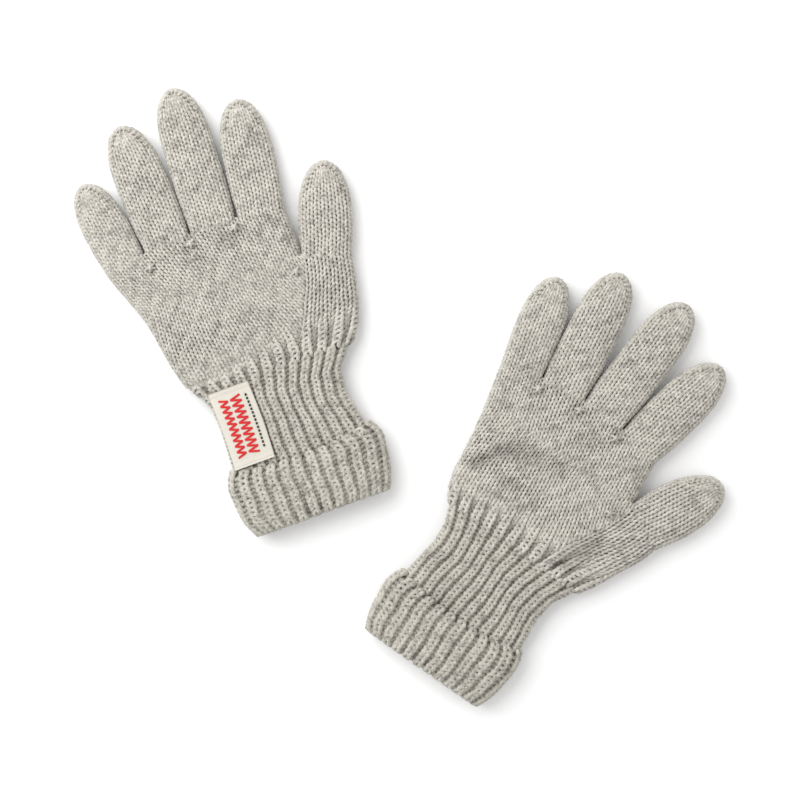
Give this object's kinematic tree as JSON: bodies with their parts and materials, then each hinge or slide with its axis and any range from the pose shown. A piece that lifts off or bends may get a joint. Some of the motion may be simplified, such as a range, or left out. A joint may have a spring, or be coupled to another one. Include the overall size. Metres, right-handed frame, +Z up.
{
  "type": "knitted gloves",
  "caption": "Pair of flat-laid ribbed-cuff knitted gloves with separate finger tubes, turned-up cuffs, closed fingertips and a sewn woven wrist label.",
  "frame": {"origin": "on the surface the gloves lie on, under the middle of the box around the pair", "axes": "+X to the right and +Y away as the pair is looked down on, +Z up from the surface"},
  "size_m": [0.3538, 0.3326, 0.017],
  "materials": {
    "heather_knit": "plain knitted heather wool yarn, matt and slightly fuzzy",
    "ribbed_knit": "one-by-one ribbed heather wool yarn, matt and slightly fuzzy",
    "linking_yarn": "single yarn end worked through the loops",
    "label_cloth": "woven cotton label cloth",
    "sewing_thread": "twisted sewing thread"
  },
  "bodies": {
    "left_wrist": {"left_cuff": "ribbed_knit", "left_wrist": "ribbed_knit", "left_label": "label_cloth", "left_label_stitching_top": "sewing_thread", "left_label_stitching_bottom": "sewing_thread"},
    "left_hand": {"left_hand": "heather_knit", "left_pinky_ring_darn": "linking_yarn", "left_ring_middle_darn": "linking_yarn", "left_middle_index_darn": "linking_yarn", "left_thumb_darn": "linking_yarn"},
    "left_pinky": {"left_pinky": "heather_knit", "left_pinky_tip_link": "linking_yarn"},
    "left_ring": {"left_ring": "heather_knit", "left_ring_tip_link": "linking_yarn"},
    "left_middle": {"left_middle": "heather_knit", "left_middle_tip_link": "linking_yarn"},
    "left_index": {"left_index": "heather_knit", "left_index_tip_link": "linking_yarn"},
    "left_thumb": {"left_thumb": "heather_knit", "left_thumb_tip_link": "linking_yarn"},
    "right_wrist": {"right_cuff": "ribbed_knit", "right_wrist": "ribbed_knit"},
    "right_hand": {"right_hand": "heather_knit", "right_pinky_ring_darn": "linking_yarn", "right_ring_middle_darn": "linking_yarn", "right_middle_index_darn": "linking_yarn", "right_thumb_darn": "linking_yarn"},
    "right_pinky": {"right_pinky": "heather_knit", "right_pinky_tip_link": "linking_yarn"},
    "right_ring": {"right_ring": "heather_knit", "right_ring_tip_link": "linking_yarn"},
    "right_middle": {"right_middle": "heather_knit", "right_middle_tip_link": "linking_yarn"},
    "right_index": {"right_index": "heather_knit", "right_index_tip_link": "linking_yarn"},
    "right_thumb": {"right_thumb": "heather_knit", "right_thumb_tip_link": "linking_yarn"}
  },
  "joints": [
    {"name": "left_wrist_flex", "type": "hinge", "parent": "left_wrist", "child": "left_hand", "pos_m": [-0.06678, 0.01522, 0], "axis": [-0.9397, -0.342, 0], "range_deg": [0, 60]},
    {"name": "left_pinky_flex", "type": "hinge", "parent": "left_hand", "child": "left_pinky", "pos_m": [-0.14604, 0.06975, 0], "axis": [-0.8788, -0.4772, 0], "range_deg": [0, 90]},
    {"name": "left_ring_flex", "type": "hinge", "parent": "left_hand", "child": "left_ring", "pos_m": [-0.12402, 0.08181, 0], "axis": [-0.9232, -0.3843, 0], "range_deg": [0, 90]},
    {"name": "left_middle_flex", "type": "hinge", "parent": "left_hand", "child": "left_middle", "pos_m": [-0.09966, 0.09153, 0], "axis": [-0.9553, -0.2957, 0], "range_deg": [0, 90]},
    {"name": "left_index_flex", "type": "hinge", "parent": "left_hand", "child": "left_index", "pos_m": [-0.07393, 0.09865, 0], "axis": [-0.9763, -0.2164, 0], "range_deg": [0, 90]},
    {"name": "left_thumb_flex", "type": "hinge", "parent": "left_hand", "child": "left_thumb", "pos_m": [-0.03883, 0.07598, 0], "axis": [-0.9993, -0.0384, 0], "range_deg": [0, 60]},
    {"name": "right_glove_lift", "type": "slide", "parent": "left_wrist", "child": "right_wrist", "axis": [0, 0, 1], "range_m": [0, 0.15]},
    {"name": "right_wrist_flex", "type": "hinge", "parent": "right_wrist", "child": "right_hand", "pos_m": [0.05863, -0.07835, 0.01415], "axis": [0.8192, -0.5736, 0], "range_deg": [0, 60]},
    {"name": "right_pinky_flex", "type": "hinge", "parent": "right_hand", "child": "right_pinky", "pos_m": [0.06547, 0.01447, 0.013], "axis": [0.9259, -0.3778, 0], "range_deg": [0, 90]},
    {"name": "right_ring_flex", "type": "hinge", "parent": "right_hand", "child": "right_ring", "pos_m": [0.08776, 0.00374, 0.013], "axis": [0.8894, -0.4571, 0], "range_deg": [0, 90]},
    {"name": "right_middle_flex", "type": "hinge", "parent": "right_hand", "child": "right_middle", "pos_m": [0.10923, -0.00958, 0.013], "axis": [0.7902, -0.6129, 0], "range_deg": [0, 90]},
    {"name": "right_index_flex", "type": "hinge", "parent": "right_hand", "child": "right_index", "pos_m": [0.12795, -0.02684, 0.013], "axis": [0.6921, -0.7218, 0], "range_deg": [0, 90]},
    {"name": "right_thumb_flex", "type": "hinge", "parent": "right_hand", "child": "right_thumb", "pos_m": [0.13075, -0.06947, 0.013], "axis": [0.4617, -0.887, 0], "range_deg": [0, 60]}
  ]
}
